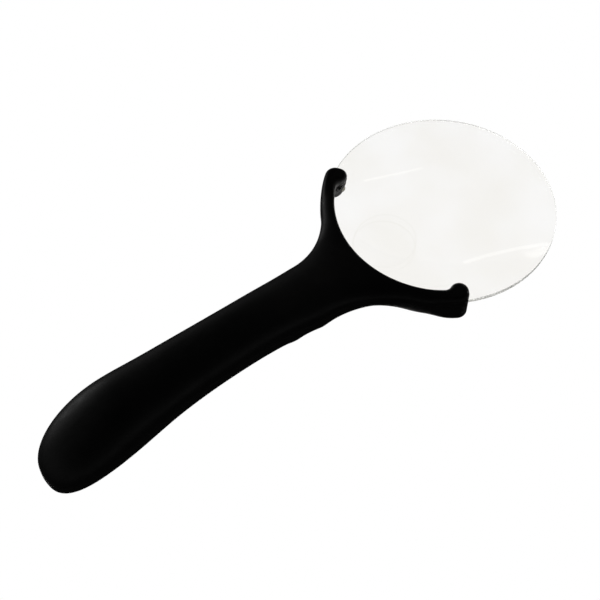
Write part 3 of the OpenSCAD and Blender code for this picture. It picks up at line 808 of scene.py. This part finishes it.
def wire_channel(side):
    """The wires' way to a jaw, as two cutting blocks: straight out of the neck, then along the arm."""
    ring = np.concatenate([
        arc((0, 0), WIRE_RING + GROOVE_HALF, WIRE_JOIN - 1.5, JAW_ANGLE - 1.5),
        arc((0, 0), WIRE_RING - GROOVE_HALF, JAW_ANGLE - 1.5, WIRE_JOIN - 1.5),
    ])
    run = polar(WIRE_RING, WIRE_JOIN) - WIRE_ENTRY
    length = np.linalg.norm(run)
    way = run / length
    across = SLOT_HALF * np.array((-way[1], way[0]))
    start, end = WIRE_ENTRY - 2.5 * way, WIRE_ENTRY + (length + 0.6) * way
    straight = [start - across, end - across, end + across, start + across]
    return [
        loft("channel", [[(LENS_X - b, side * y, z) for b, y in plan] for z in WIRE_HEIGHTS])
        for plan in (straight, ring)
    ]


def lamp_cavity(side):
    """The room behind a lamp for its legs."""
    corners = [jaw_point(side, *corner) for corner in ((-3.6, -2.1), (0.6, -2.1), (0.6, 2.1), (-3.6, 2.1))]
    return loft("cavity", [[(p.x, p.y, z) for p in corners] for z in (2.3, 12)])


def lower_shell():
    shell = skin("lower_cover", False)
    combine(shell, hollow(WALL))
    for near, far in BULKHEADS:
        low = rounded_box((near, far), 20, (0, float(seam(near)) - 0.2))
        combine(shell, combine(low, hollow(WALL - 0.7), "INTERSECT"), "UNION")
        high = rounded_box((near, far), 20, (float(seam(near)) - 2, CELL_Z + 4.6))
        combine(shell, combine(high, hollow(WALL + 0.2), "INTERSECT"), "UNION")
    for back, _, _ in SHELL_SCREWS[1:]:
        combine(shell, post(back, 3.5, (float(floor_at(back)) + 0.8, float(seam(back)) - 0.7)), "UNION")
    for back in BOARD_POSTS:
        combine(shell, post(back, 2.2, (float(floor_at(back)) + 0.8, BOARD_Z - 0.02)), "UNION")
    combine(shell, lens_solid(0.08))
    for side in (-1, 1):
        ahead = jaw_point(side, 12, z=4.3 - 12 * math.tan(math.radians(10)))
        lens_way = (ahead - jaw_point(side, 0)).normalized()
        bore = [(2.0, -0.1), (2.0, 1.3), (1.6, 1.301), (1.6, 12)]
        combine(shell, turned("bore", bore, jaw_point(side, 0), lens_way, 48))
        combine(shell, lamp_cavity(side))
        for channel in wire_channel(side):
            combine(shell, channel)
    for back, seat, _ in SHELL_SCREWS:
        combine(shell, screw_well(back, seat, float(floor_at(back)) - 0.1))
    for back in BOARD_POSTS:
        combine(shell, post(back, 0.9, (BOARD_Z - 4, BOARD_Z + 1)))
    hole = (DOOR_BACK[0] - GAP, DOOR_BACK[1] + GAP)
    combine(shell, rounded_box(hole, DOOR_HALF, (-2, CELL_Z - 1), 1.6))
    hinge_z = float(floor_at(DOOR_BACK[0]))
    for side in (-1, 1):
        combine(shell, rounded_box((124, 129), 2.6, (hinge_z + WALL + 0.1, CELL_Z - 2.6), 0.3, side * 6))
    half = SWITCH_TRAVEL / 2
    combine(shell, rounded_box((SWITCH_BACK - half - 6.6, SWITCH_BACK + half + 6.6), 4.2, (3.7, 6.2), 0.6))
    combine(shell, rounded_box((SWITCH_BACK - half - 3.3, SWITCH_BACK + half + 3.3), 2.6, (-1, 4.8), 0.5))
    return settle(shell, "handle", [BLACK], ["lower_shell"])


def battery_door():
    door = skin("door_panel", False)
    panel = rounded_box(DOOR_BACK, DOOR_HALF - GAP, (-2, CELL_Z - 1.4), 1.4)
    combine(door, panel, "INTERSECT")
    combine(door, hollow(WALL))
    low = float(floor_at(DOOR_BACK[1]))
    grip = [(0, -4.5), (4.4, -4.5), (5.0, -3.9), (5.0, 3.9), (4.4, 4.5), (0, 4.5)]
    combine(door, turned("grip", grip, (LENS_X - DOOR_BACK[1] + 1.5, 0, low - 4.2), (0, 1, 0), 96))
    for k in range(5):
        ridge_x = LENS_X - DOOR_BACK[1] + 7.4 + 1.7 * k
        z = float(floor_at(LENS_X - ridge_x))
        bar = [(0, -4.6 + 0.35 * k), (0.42, -4.3 + 0.35 * k), (0.42, 4.3 - 0.35 * k), (0, 4.6 - 0.35 * k)]
        combine(door, turned("bar", bar, (ridge_x, 0, z + 0.12), (0, 1, 0), 24), "UNION")
    hinge_z = float(floor_at(DOOR_BACK[0]))
    for side in (-1, 1):
        reach = (DOOR_BACK[0] - 1.9, DOOR_BACK[0] + 1.4)
        tongue = rounded_box(reach, 2, (hinge_z + WALL + 0.35, hinge_z + WALL + 1.25), 0.4, side * 6)
        combine(door, tongue, "UNION")
    snap = rounded_box((DOOR_BACK[1] - 1.3, DOOR_BACK[1] - 0.1), 3, (low + 0.9, CELL_Z - 5.6), 0.3)
    combine(door, snap, "UNION")
    return settle(door, "door", [DOOR_BLACK], ["battery_door"])


# ---------------------------------------------------------------------------------------------
# Lens
# ---------------------------------------------------------------------------------------------
def lens():
    """The acrylic lens with its stronger spot and its eased, ground rim."""
    body = lens_solid(0.0, 0.18)
    top = LENS_Z + LENS_EDGE / 2 + float(sag(LENS_R) - sag(SPOT_BACK))
    rim = math.sqrt(SPOT_CURVE**2 - SPOT_D**2 / 4)
    centre = -rim - float(sag(SPOT_D / 2))
    tilt = math.asin(SPOT_BACK / LENS_CURVE)
    axis = (-math.sin(tilt), 0, math.cos(tilt))
    edge_r = SPOT_D / 2 + 0.2
    radii = np.linspace(0, edge_r, 40)
    cap = [(float(r), centre + math.sqrt(SPOT_CURVE**2 - r**2)) for r in radii]
    cap += [(edge_r, -1.5), (0.0, -1.5)]
    spot = turned("spot", cap, (LENS_X - SPOT_BACK, 0, top), axis, 160)
    combine(body, spot, "UNION")
    body.name = "lens_disc"
    settle(body, "handle", [ACRYLIC, EDGE], ["lens"], smooth=3.5)
    for face in body.data.polygons:
        out = Vector((face.center.x / MM - LENS_X, face.center.y / MM)).length
        face.material_index = int(out > LENS_R - 0.15)
    return body


# ---------------------------------------------------------------------------------------------
# Smaller pieces: the CAD node's own shape with its edges eased, coloured by region
# ---------------------------------------------------------------------------------------------
def refined(node, name, materials, ease=0.12, pick=None, segments=2):
    """A copy of a CAD node whose flat faces are whole and whose sharp edges are rounded by ease."""
    form = bmesh.new()
    form.from_mesh(frame["nodes"][node].data)
    form.transform(Matrix.Scale(1 / MM, 4))
    bmesh.ops.remove_doubles(form, verts=form.verts, dist=2e-3)
    bmesh.ops.dissolve_degenerate(form, edges=form.edges, dist=1e-3)
    bmesh.ops.dissolve_limit(form, angle_limit=math.radians(0.6), verts=form.verts, edges=form.edges)
    if ease:
        sharp = [e for e in form.edges if len(e.link_faces) == 2 and e.calc_face_angle(0) > math.radians(38)]
        bmesh.ops.bevel(
            form, geom=sharp, offset=ease, offset_type="OFFSET", segments=segments, profile=0.5,
            affect="EDGES", clamp_overlap=True,
        )
        # a rounding that has no room for its full size leaves faces of no area
        bmesh.ops.remove_doubles(form, verts=form.verts, dist=1e-4)
        bmesh.ops.dissolve_degenerate(form, edges=form.edges, dist=5e-5)
    bmesh.ops.recalc_face_normals(form, faces=form.faces)
    mesh = bpy.data.meshes.new(name)
    form.to_mesh(mesh)
    form.free()
    obj = bpy.data.objects.new(name, mesh)
    bpy.context.scene.collection.objects.link(obj)
    body = frame["nodes"][node]["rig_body"]
    settle(obj, body, materials, [node], smooth=38)
    if pick:
        for face in obj.data.polygons:
            face.material_index = pick(face.center / MM)
    return obj


def led_region(p):
    """0 for the epoxy body and 1 for the two steel legs behind it."""
    side = 1 if p.y > 0 else -1
    return 1 if (p - jaw_point(side, 0)).dot(jaw_point(side, 1) - jaw_point(side, 0)) < 0.32 else 0


def cell_region(nub_forward):
    """Picks the steel ends, the sleeve and the band of a cell whose nub is at one end."""
    def pick(p):
        low, high = (corner.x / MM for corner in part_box("right_battery" if nub_forward else "left_battery"))
        from_nub = high - p.x if nub_forward else p.x - low
        from_base = p.x - low if nub_forward else high - p.x
        if from_nub < 1.55 or from_base < 0.45:
            return 2
        return 1 if from_nub < 11 else 0
    return pick


def inner_pieces():
    for side in ("left", "right"):
        refined(f"{side}_led", f"{side}_lamp", [EPOXY, TINNED], 0.06, led_region)
        wires = refined(f"{side}_led_wires", f"{side}_lamp_leads", [RED, DARK], 0)
        paint_parts(wires)
        refined(f"{side}_spring", f"{side}_coil", [SPRING], 0)
    refined("left_battery", "left_cell", [SLEEVE, BAND, TINNED], 0.2, cell_region(False))
    refined("right_battery", "right_cell", [SLEEVE, BAND, TINNED], 0.2, cell_region(True))
    refined("circuit_board", "board", [MASK], 0.08)
    refined("driver_chip", "converter_chip", [RESIN, TINNED], 0.05, chip_region)
    refined("inductor", "coil_core", [FERRITE], 0.12)
    refined("resistors", "resistor_set", [RESIN, TINNED], 0.04, resistor_region)
    refined("switch_case", "switch_housing", [TINNED], 0.12)
    refined("switch_stem", "switch_lever", [BUTTON_BLACK], 0.1)
    refined("switch_button", "slide_button", [BUTTON_BLACK], 0.22, segments=3)
    refined("board_screws", "board_screw_set", [SCREW], 0.08)
    refined("shell_screws", "shell_screw_set", [SCREW], 0.1)
    refined("positive_contact", "positive_plate", [NICKEL], 0.08)
    refined("negative_contact", "negative_plate", [NICKEL], 0.08)
    refined("link_contact", "link_plate", [NICKEL], 0.08)
    refined("positive_wire", "positive_lead", [RED], 0)
    refined("negative_wire", "negative_lead", [DARK], 0)


def chip_region(p):
    """0 for the chip's resin body and 1 for the legs on its two sides."""
    return int(abs(p.y - 4) > 0.85)


def resistor_region(p):
    """The end caps of each resistor, which stand within 0.3 of its ends."""
    back = LENS_X - p.x
    return int(not any(start + 0.02 < back < start + 1.98 for start in (76.5, 79.5)))


def paint_parts(obj):
    """The first material on the lower of two separate wires, and the second on the other."""
    form = bmesh.new()
    form.from_mesh(obj.data)
    form.faces.ensure_lookup_table()
    seen = set()
    parts = []
    for start in form.faces:
        if start.index in seen:
            continue
        part, todo = [], [start]
        seen.add(start.index)
        while todo:
            face = todo.pop()
            part.append(face)
            for edge in face.edges:
                for other in edge.link_faces:
                    if other.index not in seen:
                        seen.add(other.index)
                        todo.append(other)
        parts.append(part)
    parts.sort(key=lambda part: sum(f.calc_center_median().z for f in part) / len(part))
    for index, part in enumerate(parts):
        for face in part:
            face.material_index = min(index, 1)
    form.to_mesh(obj.data)
    form.free()


# ---------------------------------------------------------------------------------------------
# Camera, floor and light
# ---------------------------------------------------------------------------------------------
def camera():
    """The photograph's view: azimuth -38.8, elevation 56, from a little under 60 cm."""
    azimuth, elevation = math.radians(-38.8), math.radians(56.05)
    right = Vector((math.cos(azimuth), math.sin(azimuth), 0))
    level = math.cos(elevation)
    back = Vector((math.sin(azimuth) * level, -math.cos(azimuth) * level, math.sin(elevation)))
    up = back.cross(right)
    data = bpy.data.cameras.new("view")
    data.lens = 80.4
    data.sensor_width = 36
    data.clip_start, data.clip_end = 0.01, 20
    cam = bpy.data.objects.new("view", data)
    bpy.context.scene.collection.objects.link(cam)
    centre = Vector((LENS_X, 0, LENS_Z)) * MM
    r = LENS_R * MM
    cam.location = centre + r * (11.687 * back - 1.230 * right - 0.808 * up)
    cam.rotation_euler = Matrix((right, up, back)).transposed().to_euler()
    bpy.context.scene.camera = cam


def area_light(name, place, aim, along, size, power):
    """A soft light at place, facing aim, whose length lies along a direction."""
    data = bpy.data.lights.new(name, "AREA")
    data.shape = "RECTANGLE"
    data.size, data.size_y = size
    data.energy = power
    lamp = bpy.data.objects.new(name, data)
    bpy.context.scene.collection.objects.link(lamp)
    lamp.location = place
    away = (Vector(place) - Vector(aim)).normalized()
    cross = away.cross(Vector(along)).normalized()
    lamp.rotation_euler = Matrix((cross.cross(away), cross, away)).transposed().to_euler()


def either(tree, first, second):
    """1 where one of two shares is 1, or both are."""
    larger = tree.nodes.new("ShaderNodeMath")
    larger.operation = "MAXIMUM"
    tree.links.new(first, larger.inputs[0])
    tree.links.new(second, larger.inputs[1])
    return larger.outputs[0]


def seen_directly(tree):
    """1 for what the camera sees, straight or through something clear, and 0 for what lights a surface."""
    path = tree.nodes.new("ShaderNodeLightPath")
    return either(tree, path.outputs["Is Camera Ray"], path.outputs["Is Transmission Ray"])


def floor():
    """A plain white floor that throws little light back at the object, clear from below and to lamps."""
    mesh = bpy.data.meshes.new("floor")
    s = 3.0
    mesh.from_pydata([(-s, -s, 0), (s, -s, 0), (s, s, 0), (-s, s, 0)], [], [(0, 1, 2, 3)])
    obj = bpy.data.objects.new("floor", mesh)
    bpy.context.scene.collection.objects.link(obj)
    obj.location.z = cad_low.z - 0.00005
    f = Finish("floor_white", (0.14, 0.14, 0.14), 0.9, Specular_IOR_Level=0.0)
    tree = f.tree
    white = tree.nodes.new("ShaderNodeEmission")
    clear = tree.nodes.new("ShaderNodeBsdfTransparent")
    below = tree.nodes.new("ShaderNodeNewGeometry").outputs["Backfacing"]
    lamp = tree.nodes.new("ShaderNodeLightPath").outputs["Is Shadow Ray"]
    top = blend(tree, seen_directly(tree), f.shader.outputs[0], white.outputs[0])
    whole = blend(tree, either(tree, below, lamp), top, clear.outputs[0])
    tree.links.new(whole, tree.nodes["Material Output"].inputs["Surface"])
    mesh.materials.append(f.material)


def studio():
    """A room with plain white backdrops, dim but for its horizon, a low panel behind and soft lights."""
    scene = bpy.context.scene
    scene.view_settings.view_transform = "Standard"
    # light can be led a long way round inside the lens
    scene.cycles.max_bounces = 40
    scene.cycles.glossy_bounces = 24
    scene.cycles.transmission_bounces = 24
    world = bpy.data.worlds.new("studio")
    scene.world = world
    world.use_nodes = True
    tree = world.node_tree
    room = tree.nodes["Background"]
    room.inputs["Color"].default_value = (1, 1, 1, 1)
    way = tree.nodes.new("ShaderNodeSeparateXYZ")
    tree.links.new(tree.nodes.new("ShaderNodeTexCoord").outputs["Generated"], way.inputs[0])
    horizon = tree.nodes.new("ShaderNodeMapRange")
    tree.links.new(way.outputs["Z"], horizon.inputs["Value"])
    for socket, number in (("From Min", 0.1), ("From Max", 0.36), ("To Min", 0.22), ("To Max", 0.008)):
        horizon.inputs[socket].default_value = number
    tree.links.new(horizon.outputs["Result"], room.inputs["Strength"])
    backdrop = tree.nodes.new("ShaderNodeBackground")
    backdrop.inputs["Color"].default_value = (1, 1, 1, 1)
    shade = blend(tree, seen_directly(tree), room.outputs[0], backdrop.outputs[0])
    tree.links.new(shade, tree.nodes["World Output"].inputs["Surface"])
    area_light("back", (-0.35, 1.3, 0.2), (0, 0, 0), (1, 0, 0), (0.9, 0.35), 1.9)
    area_light("side", (0.15, -0.9, 0.5), (0, 0, 0), (1, 0, 0), (0.7, 0.3), 0.06)
    area_light("right", (1.2, -0.1, 0.35), (0, 0, 0), (0, 1, 0), (0.8, 0.3), 0.04)
    area_light("left", (-1.2, 0.1, 0.35), (0, 0, 0), (0, 1, 0), (0.8, 0.3), 0.04)
    area_light("under", (0.1, 0.3, -0.8), (-0.05, 0, 0), (1, 0, 0), (0.7, 0.3), 10.0)
    strip_way = (0.277, -0.106, -0.129)
    area_light("strip", (0.578, 0.114, 0.854), (0.08, -0.036, 0.012), strip_way, (0.34, 0.014), 0.02)
    floor()


camera()
upper_shell()
lower_shell()
battery_door()
lens()
inner_pieces()
studio()
